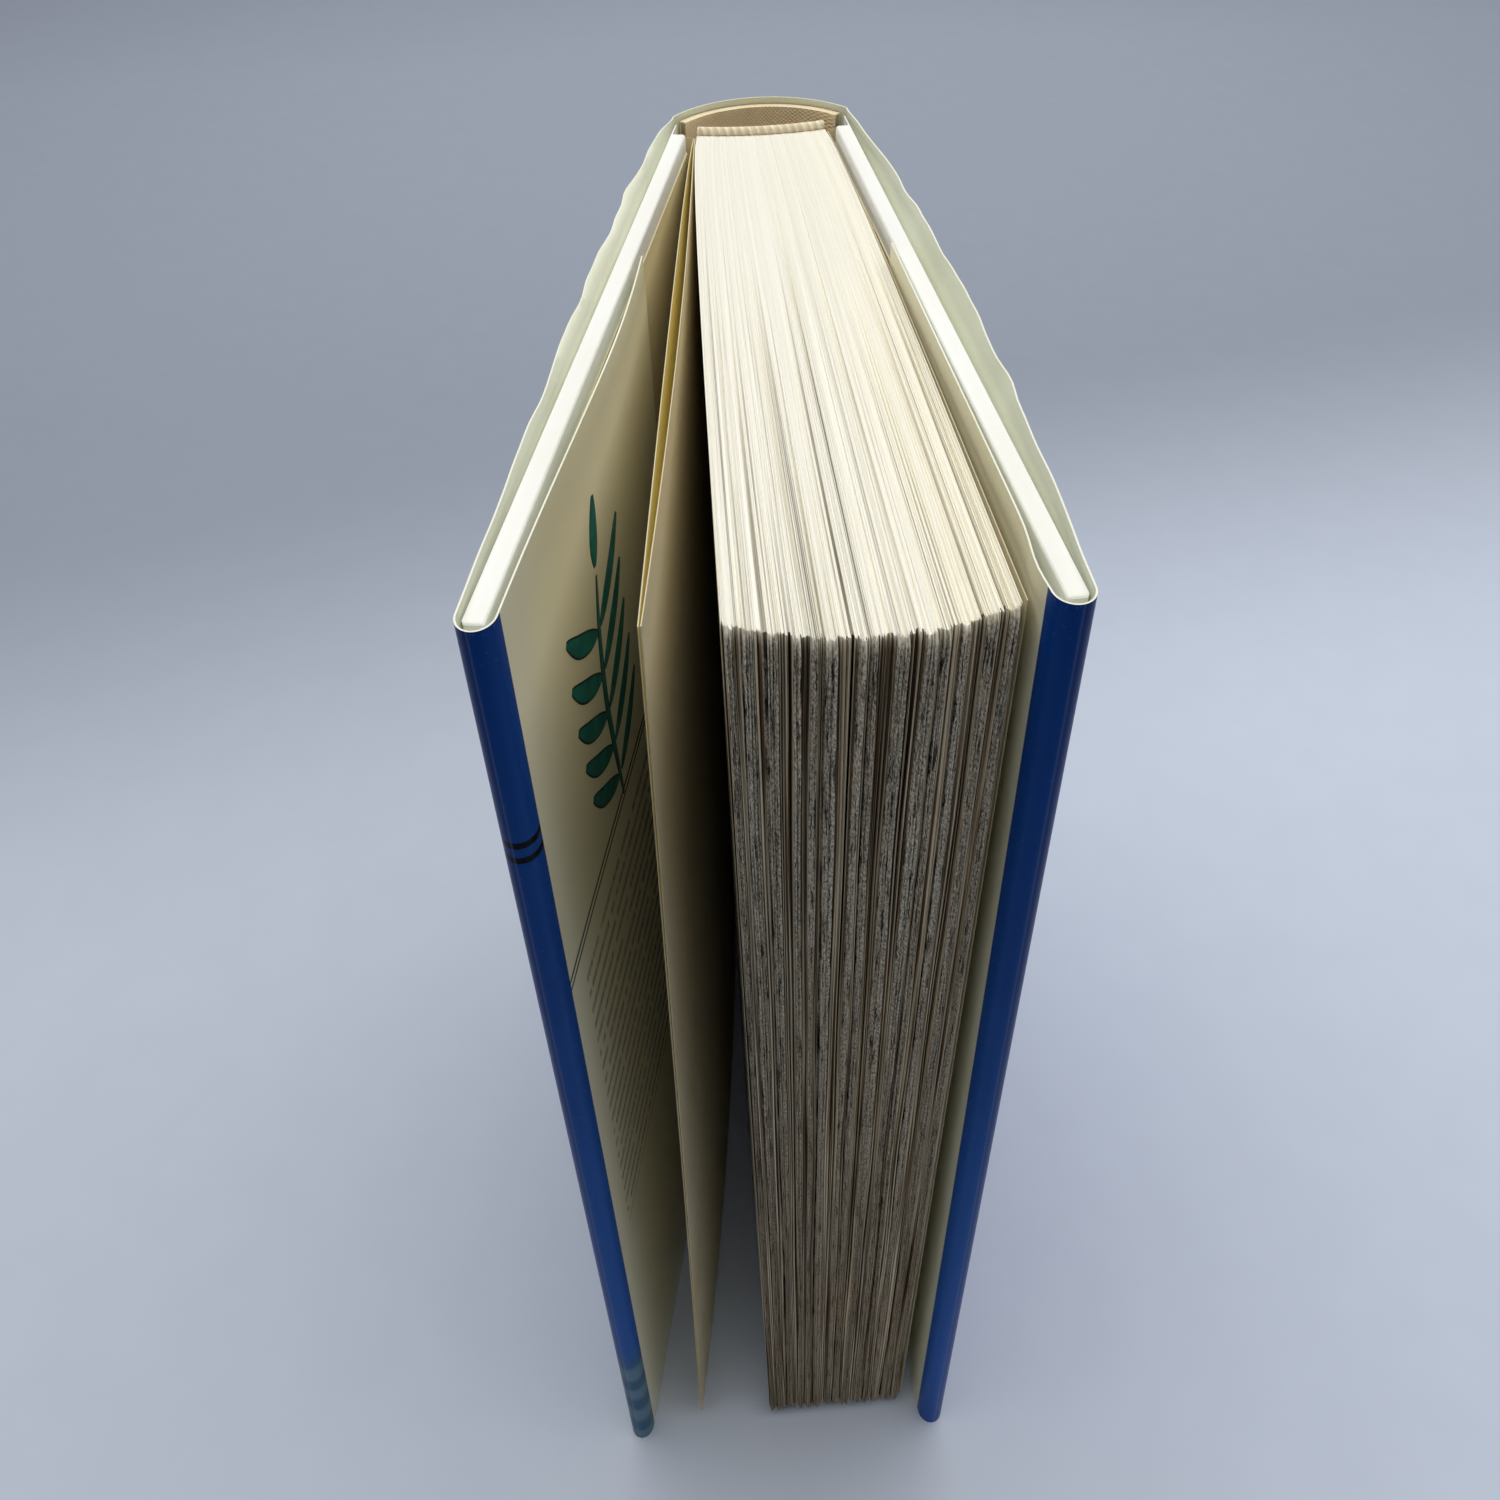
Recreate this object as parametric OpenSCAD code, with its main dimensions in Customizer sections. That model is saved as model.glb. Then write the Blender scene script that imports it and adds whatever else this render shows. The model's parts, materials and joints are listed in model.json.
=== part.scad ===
// Hardcover book in a paper jacket, standing on its tail with the front cover ajar.
// The spine faces +Y and the front cover is on the -X side. The origin is under the middle of the book.

/* [Pages] */
// Height of the pages, head to tail
page_height = 232.5; // [120:0.5:320]
// Depth of the pages, back to fore-edge, measured at their sides
page_depth = 152; // [80:0.5:240]
// Thickness of the pages at their back
back_thickness = 25; // [12:0.5:60]
// Thickness of the pages at the fore-edge, at the head
fore_thickness_head = 35; // [14:0.5:80]
// Thickness of the pages at the fore-edge, at the tail
fore_thickness_tail = 30; // [14:0.5:80]
// How fast the pages swell from the back: 1 is a plain wedge, less is a rounder shoulder
swell = 0.62; // [0.45:0.01:1]
// How far the fore-edge bows out in its middle, at the head
fore_bow_head = 4.3; // [0:0.1:8]
// The same at the tail
fore_bow_tail = 0; // [0:0.1:8]
// How far the back of the pages is sunk in its middle
back_hollow = 1.4; // [0.5:0.1:4]
// Number of gatherings that show at the fore-edge
gatherings = 14; // [4:1:24]
// How far the rough-cut leaves of a gathering stand out past the trimmed ones
deckle_depth = 0.9; // [0:0.1:2]
// Depth of the groove between two gatherings
gathering_groove = 0.8; // [0:0.1:2]

/* [Loose leaves] */
// Thickness of a leaf
leaf_thickness = 0.15; // [0.1:0.05:0.4]
// Gap that keeps glued or stacked sheets apart
sheet_gap = 0.1; // [0.05:0.05:0.3]
// How far the front flyleaf stands off the pages at the fore-edge, at the head
flyleaf_lift_head = 9.5; // [2:0.1:16]
// The same at the tail
flyleaf_lift_tail = 15.1; // [2:0.1:18]
// Gap between the tips of the two standing leaves
leaf_tip_gap = 0.5; // [0.3:0.1:3]
// Curve of the front flyleaf: 1 is straight, more bends it towards the pages
flyleaf_curve = 1.05; // [0.8:0.05:2]
// Curve of the blank leaf behind it
blank_leaf_curve = 1.6; // [1.1:0.05:2.5]
// How far the back flyleaf stands off the pages at the fore-edge
back_leaf_lift = 0.5; // [0:0.1:1]
// A leaf leaves the side of the pages this far from their back
leaf_root = 1.2; // [0.5:0.1:4]
// How far the tip of a leaf lies behind the sides of the fore-edge
leaf_inset = 0.8; // [0:0.1:4]
// Radius at which the fold of an endpaper lies beside the hinge line
endpaper_fold_r = 1; // [0.6:0.1:2]
// Angle below level at which it lies there
endpaper_fold_angle = 42; // [20:1:70]

/* [Boards] */
// Thickness of a board
board_thickness = 2.2; // [1:0.1:4]
// How far the boards stand past the sides of the pages at the fore-edge
fore_square = 2; // [0.5:0.1:8]
// How far the covers stand past the pages at the head
head_square = 2.3; // [1:0.1:8]
// How far the covers stand past the pages at the tail
tail_square = 4; // [1:0.1:8]
// Thickness of the covering
covering_thickness = 0.25; // [0.1:0.05:0.6]
// Depth of the covering's turn-ins
turn_in = 15; // [6:1:25]
// Width of the flexible joint between the hinge line and the board
joint_width = 6; // [4:0.5:10]
// The joint's sheets start this far from the hinge line
joint_start = 1; // [0.8:0.1:2]
// Thickness of the pastedown
pastedown_thickness = 0.2; // [0.1:0.05:0.5]
// Border of turned-in covering left bare around the pastedown
pastedown_margin = 3.5; // [2:0.5:8]
// Clearance between the back of the pages and a closed cover
shoulder_clearance = 0.975; // [0.8:0.025:2]

/* [Spine] */
// How far the spine rounds out past the hinge lines
spine_rise = 8.3; // [3:0.1:14]
// Thickness of the card strip in the spine
inlay_thickness = 0.8; // [0.4:0.1:1.5]
// Distance from a hinge line to the edge of the spine's cloth
spine_inset = 1.3; // [1:0.1:3]
// Distance from the hinge lines back to the pages
back_set = 1; // [0.8:0.1:4]
// Thickness of the lining glued to the back of the pages
lining_thickness = 0.4; // [0.2:0.05:1]
// Height of the tape of a head band
band_height = 9; // [5:0.5:16]
// Radius of the bead of a head band
bead_radius = 0.9; // [0.5:0.1:1.6]

/* [Jacket] */
// Thickness of the jacket's paper
jacket_thickness = 0.25; // [0.1:0.05:0.4]
// Clearance between the jacket and the covers
jacket_clearance = 0.3; // [0.2:0.05:1]
// How far the jacket stands past the covers at the head
jacket_rise = 1.2; // [0.2:0.1:4]
// How far a fold of the jacket stands past the edge of the covered board
fold_reach = 2.75; // [1:0.05:6]
// Depth of a flap, from the fold to its free edge
flap_depth = 93; // [40:1:120]
// How far the front panel bulges off its board at the head and the tail
front_bulge = 2.35; // [0:0.05:5]
// How far the back panel bulges off its board at the head and the tail
back_bulge = 3.5; // [0:0.05:5]
// Share of a bulge that is left at mid height
bulge_waist = 0.45; // [0:0.05:1]
// Height of the small waves along the head and the tail of the jacket
edge_wave = 0.3; // [0:0.05:0.6]
// How far the folded end of a flap stands off the pastedown
flap_lift = 1.3; // [0.5:0.1:3]
// How far a flap bows away from the pastedown beyond that
flap_bow = 1.1; // [0:0.1:2]
// Radius of the rounded crease where the jacket turns at a hinge line
crease_radius = 0.3; // [0.2:0.05:0.5]
// Clearance between a crease and its panel
crease_clearance = 0.2; // [0.1:0.05:0.4]
// Length over which a panel leaves the crease before it bulges
crease_length = 4; // [2:0.5:12]
// Length of one of the small waves
wave_length = 27; // [12:1:60]

/* [Pose] */
// Open space between the pages and the front flap at the fore-edge
front_gap = 24.7; // [8:0.1:40]
// Open space between the pages and the back flap at the fore-edge
back_gap = 2.5; // [1.8:0.1:30]

/* [Hidden] */
$fn = 96;

FRONT = -1;
BACK = 1;
// A cut reaches this far past the face that it opens
over = 1;

// Heights
cover_height = tail_square + page_height + head_square;
jacket_height = cover_height + jacket_rise;
head_z = tail_square + page_height;

// Layers of a cover, measured outwards from the middle of the jacket's sheet at the hinge line
covering_w = -jacket_thickness / 2 - jacket_clearance;
board_w = covering_w - covering_thickness;
board_in_w = board_w - board_thickness;
turn_in_w = board_in_w - covering_thickness;
pastedown_w = turn_in_w - pastedown_thickness;
board_end = back_set + page_depth + fore_square;
cover_end = board_end + covering_thickness;

// Hinge lines, at y = 0 on both sides of the spine
hinge_x = back_thickness / 2 - pastedown_w + shoulder_clearance;

// Rest angles of the covers, worked out from the open space at the fore-edge
flap_in = -pastedown_w + jacket_thickness + flap_lift;
widest_half = max(fore_half(0), fore_half(1));
function rest_angle(gap) = asin((widest_half + gap + flap_in - hinge_x) / cover_end);
front_angle = rest_angle(front_gap);
back_angle = rest_angle(back_gap);
function cover_angle(side) = side == FRONT ? front_angle : back_angle;

// Rounded spine: the jacket's sheet runs through both hinge lines
spine_radius = (hinge_x * hinge_x + spine_rise * spine_rise) / (2 * spine_rise);
spine_centre_y = spine_rise - spine_radius;
spine_cloth_r = spine_radius - jacket_thickness / 2 - jacket_clearance;
inlay_r = spine_cloth_r - covering_thickness - sheet_gap;
inlay_in_r = inlay_r - inlay_thickness;
spine_turn_in_r = inlay_in_r - sheet_gap - covering_thickness;
spine_arc = asin(hinge_x / spine_radius);
cloth_arc = spine_arc - 2 * asin(spine_inset / 2 / spine_radius);

// Sunk back of the pages: an arc about a point behind the book
back_radius = (pow(back_thickness / 2, 2) + back_hollow * back_hollow) / (2 * back_hollow);
back_centre_y = back_radius - back_hollow - back_set;
back_arc = asin(back_thickness / 2 / back_radius);

// Steps of the meshed sheets and of the pages
page_levels = 9;
side_steps = 12;
leaf_levels = 7;
jacket_levels = 9;
panel_steps = 22;
fold_steps = 10;
flap_steps = 14;
rough = rands(0, 1, gatherings * page_levels, 23);

function mix(a, b, k) = a + (b - a) * k;
function reversed(list) = [for (i = [len(list) - 1:-1:0]) list[i]];
// Even steps from 0 to 1, drawn together towards 0
function eased_steps(n) = [for (i = [0:n]) pow(i / n, 1.6)];

// Pages: half thickness at the fore-edge, k being 0 at the tail and 1 at the head
function fore_half(k) = mix(fore_thickness_tail, fore_thickness_head, k) / 2;

// Half thickness of the pages at a distance s from their back
function side_half(s, k) =
    mix(back_thickness / 2, fore_half(k), pow(max(s, 0) / page_depth, swell));

// Point beside the pages, off millimetres outside them
function side_point(side, s, k, off = 0) = [side * (side_half(s, k) + off), -back_set - s];

// Rough-cut fore-edge: t runs across the pages, and out is how far the leaves stand out there
function fore_point(t, k, out) =
    let (bow = mix(fore_bow_tail, fore_bow_head, k) * (1 - pow(2 * t - 1, 2)))
    [(2 * t - 1) * fore_half(k), -back_set - page_depth - bow - out];

// One gathering as [place across the pages, how far it stands out]:
// a groove, the rough outer leaves, then the smooth inner ones
function gathering(i, level) =
    let (ragged = deckle_depth * (0.55 + 0.45 * rough[i * page_levels + level]))
    [
        for (step = [
            [0.01, -gathering_groove], [0.09, 0.8 * ragged], [0.3, ragged],
            [0.48, 0.85 * ragged], [0.57, 0], [0.93, 0]
        ])
            [(i + step[0]) / gatherings, step[1]]
    ];
function fore_edge(level) = [for (i = [0:gatherings - 1]) each gathering(i, level)];
fore_points = len(fore_edge(0));

function back_point(t) =
    let (a = mix(-back_arc, back_arc, t))
    [back_radius * sin(a), back_centre_y - back_radius * cos(a)];

// Outline of the pages at one level, counter-clockwise from the front corner of their back.
// The back has a point behind each point of the fore-edge.
function page_ring(level) =
    let (
        k = level / (page_levels - 1),
        depths = page_depth * eased_steps(side_steps),
        fore = fore_edge(level)
    )
    concat(
        [for (s = depths) side_point(FRONT, s, k)],
        [for (p = fore) fore_point(p[0], k, p[1])],
        [for (s = reversed(depths)) side_point(BACK, s, k)],
        [for (p = reversed(fore)) back_point(p[0])]
    );

// Triangles across an outline of the pages: strips from fore-edge to back, and a fan to each side
function page_cap() =
    let (
        side = side_steps + 1,
        m = fore_points,
        last = 2 * side + 2 * m - 1
    )
    concat(
        [for (j = [0:m - 2]) each [
            [side + j, side + j + 1, last - j - 1],
            [side + j, last - j - 1, last - j]
        ]],
        [for (i = [0:side - 1]) [last, i, i + 1]],
        [for (i = [0:side - 1]) [last - m + 1, side + m - 1 + i, side + m + i]]
    );

// Triangles across the outline of a sheet, whose first half is one face and whose second half,
// backwards, is the other
function sheet_cap(n) = [
    for (i = [0:n / 2 - 2])
        each [[i, i + 1, n - 2 - i], [i, n - 2 - i, n - 1 - i]]
];

// Places a plan outline at a height
function at_height(ring, z) = [for (p = ring) [p[0], p[1], z]];

// Solid skin over a stack of counter-clockwise rings, each with as many points.
// cap holds the triangles that close a ring.
module loft(rings, cap) {
    n = len(rings[0]);
    last = len(rings) - 1;
    sides = [
        for (j = [0:last - 1], i = [0:n - 1])
            let (a = j * n + i, b = j * n + (i + 1) % n)
            each [[a, a + n, b + n], [a, b + n, b]]
    ];
    top = [for (t = cap) [t[2] + last * n, t[1] + last * n, t[0] + last * n]];
    polyhedron(points = [for (ring = rings) each ring], faces = concat(cap, top, sides));
}

// Part of a flat ring, centred on +Y
module arc_band(r_in, r_out, half_arc) {
    reach = 2 * r_out;
    intersection() {
        difference() {
            circle(r = r_out);
            circle(r = r_in);
        }
        polygon([
            [0, 0],
            [reach * sin(half_arc), reach * cos(half_arc)],
            [-reach * sin(half_arc), reach * cos(half_arc)]
        ]);
    }
}

// The same as a wall between two heights
module arc_wall(r_in, r_out, z0, z1, half_arc) {
    translate([0, 0, z0])
        linear_extrude(height = z1 - z0)
            arc_band(r_in, r_out, half_arc);
}

// Box between two corners given as [depth, layer, height]
module box(a, b) {
    translate(a)
        cube(b - a);
}

// Puts a cover's own frame (depth from the hinge, layer outwards, height) at its rest pose
module on_cover(side) {
    mirror([side == FRONT ? 1 : 0, 0, 0])
        translate([hinge_x, 0, 0])
            rotate([0, 0, cover_angle(side) - 90])
                children();
}

// The same placing for a point of the plan
function cover_point(side, p) =
    let (a = cover_angle(side))
    [
        side * (hinge_x + p[0] * sin(a) + p[1] * cos(a)),
        -p[0] * cos(a) + p[1] * sin(a)
    ];

module text_block() {
    color("wheat")
        loft(
            [
                for (level = [0:page_levels - 1])
                    at_height(page_ring(level), tail_square + page_height * level / (page_levels - 1))
            ],
            page_cap()
        );
}

// Wall that follows the sunk back of the pages
module back_wall(thickness, z0, z1) {
    translate([0, back_centre_y, 0])
        rotate([0, 0, 180])
            arc_wall(back_radius - sheet_gap - thickness, back_radius - sheet_gap, z0, z1, back_arc);
}

module spine_lining() {
    color("gainsboro")
        back_wall(
            lining_thickness,
            tail_square + band_height + sheet_gap,
            head_z - band_height - sheet_gap
        );
}

// Tape glued to the back, with a bead that stands past the edge of the pages
module band(tape_z0, tape_z1, bead_z) {
    color("burlywood")
        union() {
            back_wall(lining_thickness, tape_z0, tape_z1);
            translate([0, back_centre_y, bead_z])
                rotate([0, 0, -90 - back_arc])
                    rotate_extrude(angle = 2 * back_arc)
                        translate([back_radius - sheet_gap - bead_radius, 0])
                            circle(r = bead_radius, $fn = 32);
        }
}

module head_band() {
    band(head_z - band_height, head_z, head_z + bead_radius / 2);
}

module tail_band() {
    band(tail_square, tail_square + band_height, tail_square - bead_radius / 2);
}

// Standing leaf: the two faces of a thin sheet beside the pages, from its root to its tip.
// root is a list of plan points that lead from the hinge line to the pages.
function leaf_ring(side, k, off, lift, curve, root) =
    let (
        path = [
            for (f = eased_steps(side_steps))
                [mix(leaf_root, page_depth - leaf_inset, f), off + lift * pow(f, curve)]
        ],
        outer = [for (p = path) side_point(side, p[0], k, p[1] + leaf_thickness)],
        inner = [for (p = path) side_point(side, p[0], k, p[1])],
        ring = concat(
            [for (p = root) [p[0], p[1] - leaf_thickness / 2]],
            outer,
            reversed(inner),
            [for (p = reversed(root)) [p[0], p[1] + leaf_thickness / 2]]
        )
    )
    side == FRONT ? ring : reversed(ring);

// Fold of an endpaper, below and inside the hinge line
function endpaper_fold(side) = [
    side * (hinge_x - endpaper_fold_r * cos(endpaper_fold_angle)),
    -endpaper_fold_r * sin(endpaper_fold_angle)
];

module leaf(side, off, lift_tail, lift_head, curve, root) {
    rings = [
        for (level = [0:leaf_levels - 1])
            let (k = level / (leaf_levels - 1), lift = mix(lift_tail, lift_head, k))
            at_height(
                leaf_ring(side, k, off, lift, curve, root),
                tail_square + page_height * k
            )
    ];
    color("cornsilk")
        loft(rings, sheet_cap(len(rings[0])));
}

module blank_leaf() {
    leaf(
        FRONT, sheet_gap,
        flyleaf_lift_tail - leaf_tip_gap, flyleaf_lift_head - leaf_tip_gap,
        blank_leaf_curve, []
    );
}

module front_flyleaf() {
    off = 2 * sheet_gap + leaf_thickness;
    leaf(
        FRONT, off, flyleaf_lift_tail, flyleaf_lift_head,
        flyleaf_curve, [endpaper_fold(FRONT)]
    );
}

module back_flyleaf() {
    leaf(BACK, sheet_gap, back_leaf_lift, back_leaf_lift, 2, [endpaper_fold(BACK)]);
}

module spine_inlay() {
    color("darkkhaki")
        translate([0, spine_centre_y, 0])
            arc_wall(
                inlay_in_r, inlay_r,
                covering_thickness, cover_height - covering_thickness, cloth_arc
            );
}

// Cloth over the inlay, folded over its head and tail and turned in behind it
module spine_cloth() {
    color("tan")
        translate([0, spine_centre_y, 0])
            difference() {
                arc_wall(spine_turn_in_r, spine_cloth_r, 0, cover_height, cloth_arc);
                arc_wall(
                    inlay_in_r - sheet_gap, inlay_r + sheet_gap,
                    covering_thickness, cover_height - covering_thickness, cloth_arc + over
                );
                arc_wall(
                    spine_turn_in_r - over, inlay_r + sheet_gap,
                    turn_in, cover_height - turn_in, cloth_arc + over
                );
            }
}

// Spine of the jacket, with the rounded creases on which its panels turn
module jacket_spine() {
    half = jacket_thickness / 2;
    color("midnightblue")
        linear_extrude(height = jacket_height)
            union() {
                translate([0, spine_centre_y])
                    arc_band(spine_radius - half, spine_radius + half, spine_arc);
                for (side = [FRONT, BACK])
                    translate([side * hinge_x, 0])
                        circle(r = crease_radius, $fn = 32);
            }
}

module board(side) {
    color("ivory")
        on_cover(side)
            box(
                [joint_width, board_in_w, covering_thickness],
                [board_end, board_w, cover_height - covering_thickness]
            );
}

module front_board() {
    board(FRONT);
}

module back_board() {
    board(BACK);
}

// Covering: one sheet over the joint and the board, folded round three edges and turned in
module cover_paper(side) {
    color("whitesmoke")
        on_cover(side)
            difference() {
                union() {
                    box([joint_start, board_w, 0], [board_end, covering_w, cover_height]);
                    box([joint_width, turn_in_w, 0], [cover_end, covering_w, cover_height]);
                }
                box(
                    [joint_width - over, board_in_w, covering_thickness],
                    [board_end, board_w, cover_height - covering_thickness]
                );
                box(
                    [joint_width - over, turn_in_w - over, turn_in],
                    [board_end - turn_in, board_w, cover_height - turn_in]
                );
            }
}

module front_cover_paper() {
    cover_paper(FRONT);
}

module back_cover_paper() {
    cover_paper(BACK);
}

// Pastedown: glued half of the endpaper, from its fold at the hinge across the joint,
// over the turn-ins and down onto the bare board between them
module pastedown(side) {
    fold = [joint_start + pastedown_thickness, board_w - joint_start / 2];
    color("antiquewhite")
        on_cover(side)
            union() {
                box(
                    [joint_width, turn_in_w, turn_in],
                    [board_end - turn_in, board_in_w, cover_height - turn_in]
                );
                translate([0, 0, pastedown_margin])
                    linear_extrude(height = cover_height - 2 * pastedown_margin)
                        polygon([
                            fold,
                            [fold[0], fold[1] - pastedown_thickness],
                            [joint_width, pastedown_w],
                            [board_end - pastedown_margin, pastedown_w],
                            [board_end - pastedown_margin, turn_in_w],
                            [joint_width, turn_in_w]
                        ]);
            }
}

module front_pastedown() {
    pastedown(FRONT);
}

module back_pastedown() {
    pastedown(BACK);
}

// Where along its panel each bulge is widest: less than 1 moves it towards the spine
function bulge_skew(side) = side == FRONT ? 0.6 : 0.94;
function bulge_size(side) = side == FRONT ? front_bulge : back_bulge;

// Share of the bulge at a height: full at the head and the tail
function bulge_share(z) = mix(bulge_waist, 1, pow(abs(2 * z / jacket_height - 1), 1.5));

// How far the panel stands off the board at depth u
function panel_off(side, u, z) =
    let (
        f = u / cover_end,
        arch = sin(180 * pow(f, bulge_skew(side))) * (1 - exp(-pow(u / crease_length, 2))),
        edge = pow(abs(2 * z / jacket_height - 1), 6),
        wave = edge_wave * edge * sin(360 * u / wave_length + side * 60)
    )
    arch * (bulge_size(side) * bulge_share(z) + wave);

// How far the flap stands off the pastedown, f being 0 at the fold and 1 at the free edge.
// The front flap bows most near its free edge, and the back one next to the fold.
function flap_off(side, f, z) =
    let (
        bow = side == FRONT
            ? sin(180 * pow(f, 1.8))
            : 0.6 * exp(-pow((f - 0.05) / 0.06, 2)) - 0.7 * pow(f, 0.8)
    )
    flap_lift + flap_bow * bow * (bow < 0 ? 1 : bulge_share(z));

// One face of the folded sheet at a height, from the crease to the flap's free edge:
// face is half a thickness for the outer face, and minus that for the inner one
function jacket_line(side, z, face) =
    let (
        flap_w = pastedown_w - jacket_thickness / 2,
        fold_in_w = flap_w - flap_off(side, 0, z),
        middle_w = fold_in_w / 2,
        panel = [
            for (i = [0:panel_steps])
                let (u = mix(crease_radius + crease_clearance, board_end, i / panel_steps))
                [u, panel_off(side, u, z) + face]
        ],
        fold = [
            for (i = [1:fold_steps - 1])
                let (a = 90 - 180 * i / fold_steps)
                [
                    board_end + (covering_thickness + fold_reach + face) * cos(a),
                    middle_w + (-middle_w + face) * sin(a)
                ]
        ],
        flap = [
            for (i = [0:flap_steps])
                let (f = i / flap_steps)
                [board_end - flap_depth * f, flap_w - flap_off(side, f, z) - face]
        ]
    )
    concat(panel, fold, flap);

function jacket_ring(side, z) =
    let (half = jacket_thickness / 2)
    concat(jacket_line(side, z, -half), reversed(jacket_line(side, z, half)));

module jacket_side(side) {
    rings = [
        for (level = [0:jacket_levels - 1])
            let (z = jacket_height * level / (jacket_levels - 1))
            at_height(jacket_ring(side, z), z)
    ];
    color("royalblue")
        on_cover(side)
            loft(rings, sheet_cap(len(rings[0])));
}

module jacket_front() {
    jacket_side(FRONT);
}

module jacket_back() {
    jacket_side(BACK);
}

// Plan corners of the book, which put the origin under its middle
plan = concat(
    [
        for (side = [FRONT, BACK], level = [0:jacket_levels - 1])
            let (z = jacket_height * level / (jacket_levels - 1))
            each [for (p = jacket_ring(side, z)) cover_point(side, p)]
    ],
    [for (level = [0:page_levels - 1]) each page_ring(level)],
    [[0, spine_rise + jacket_thickness / 2]]
);
plan_x = [for (p = plan) p[0]];
plan_y = [for (p = plan) p[1]];
middle = [(min(plan_x) + max(plan_x)) / 2, (min(plan_y) + max(plan_y)) / 2];

module placed() {
    translate([-middle[0], -middle[1], 0])
        children();
}

placed() text_block();
placed() spine_lining();
placed() head_band();
placed() tail_band();
placed() front_flyleaf();
placed() blank_leaf();
placed() back_flyleaf();
placed() spine_inlay();
placed() spine_cloth();
placed() jacket_spine();
placed() front_board();
placed() front_cover_paper();
placed() front_pastedown();
placed() jacket_front();
placed() back_board();
placed() back_cover_paper();
placed() back_pastedown();
placed() jacket_back();
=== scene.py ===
"""Looks of a hardcover book in a paper jacket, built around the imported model."""

import json
import math

import bmesh
import bpy
import numpy as np
from mathutils import Matrix, Vector


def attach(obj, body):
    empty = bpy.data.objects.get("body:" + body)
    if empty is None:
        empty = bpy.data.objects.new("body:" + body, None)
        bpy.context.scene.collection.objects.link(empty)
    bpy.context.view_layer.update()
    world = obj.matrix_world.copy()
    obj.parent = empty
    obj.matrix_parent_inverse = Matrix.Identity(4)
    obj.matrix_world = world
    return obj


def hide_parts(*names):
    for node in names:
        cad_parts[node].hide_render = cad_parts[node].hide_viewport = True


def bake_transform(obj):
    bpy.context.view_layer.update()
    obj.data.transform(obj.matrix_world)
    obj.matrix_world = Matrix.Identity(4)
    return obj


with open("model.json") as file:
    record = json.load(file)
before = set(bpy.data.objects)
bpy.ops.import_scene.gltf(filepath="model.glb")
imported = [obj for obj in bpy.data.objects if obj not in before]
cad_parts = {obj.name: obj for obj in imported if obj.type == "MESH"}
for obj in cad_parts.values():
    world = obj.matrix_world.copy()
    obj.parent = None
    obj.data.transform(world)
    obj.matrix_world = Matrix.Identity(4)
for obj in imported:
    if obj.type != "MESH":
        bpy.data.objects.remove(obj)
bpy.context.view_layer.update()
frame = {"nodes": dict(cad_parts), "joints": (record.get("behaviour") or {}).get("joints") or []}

MM = 0.001
FRONT, BACK = -1, 1

# Sizes in millimetres, with angles, counts and shares
PAGE_HEIGHT, PAGE_DEPTH = 232.5, 152.0
BACK_THICKNESS, FORE_HEAD, FORE_TAIL = 25.0, 35.0, 30.0
SWELL, BOW_HEAD, BOW_TAIL, BACK_HOLLOW = 0.62, 4.3, 0.0, 1.4
GATHERINGS, DECKLE_DEPTH, GATHERING_GROOVE = 14, 0.9, 0.8
BACK_SET, TAIL_SQUARE = 1.0, 4.0
HEAD_Z = TAIL_SQUARE + PAGE_HEIGHT
LEAF_THICKNESS, SHEET_GAP, LEAF_ROOT, LEAF_INSET = 0.15, 0.1, 1.2, 0.8
LIFT_HEAD, LIFT_TAIL, TIP_GAP = 8.9, 15.7, 0.1
FLYLEAF_CURVE, BLANK_CURVE, LEAF_RIPPLE = 1.05, 1.6, 0.25
BACK_LEAF_LIFT, BACK_LEAF_CURVE = 0.5, 2.0
HINGE_X, SPINE_RISE = 16.8, 8.3
COVER_ANGLE = {FRONT: math.radians(11.2452), BACK: math.radians(2.98146)}
BOARD_END, COVER_END = 155.0, 155.25
PASTEDOWN_W = -3.325
JACKET_HEIGHT, JACKET_THICKNESS = 240.0, 0.25
FOLD_REACH, FLAP_DEPTH, FLAP_LIFT, FLAP_BOW = 3.0, 93.0, 1.3, 1.1
BULGE = {FRONT: 2.35, BACK: 3.5}
SKEW = {FRONT: 0.6, BACK: 0.94}
# Share and length by which the jacket is drawn in to the board below its head edge,
# from the middle of its height on
LEAN = {FRONT: (0.94, 1.8), BACK: (0.8, 4.5)}
LEAN_FROM, LEAN_RUN = 0.5, 0.4
BULGE_WAIST, CREASE_LENGTH = 0.45, 4.0
EDGE_WAVE, WAVE_LENGTH, CRIMP, CRIMP_LENGTH = 0.3, 27.0, 0.28, 6.0

# The plan of the book has its zero at the middle of the spine, between the hinge lines
hinge_at = {j["name"]: Vector(j["pos_m"]) for j in frame["joints"]}
SPINE_MIDDLE = (hinge_at["front_hinge"] + hinge_at["back_hinge"]) / 2


def placed(points):
    """Millimetres in the plan of the book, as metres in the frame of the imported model."""
    return np.asarray(points, float) * MM + np.array(SPINE_MIDDLE)


def mix(a, b, k):
    """The value a share k of the way from a to b."""
    return a + (b - a) * k


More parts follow.
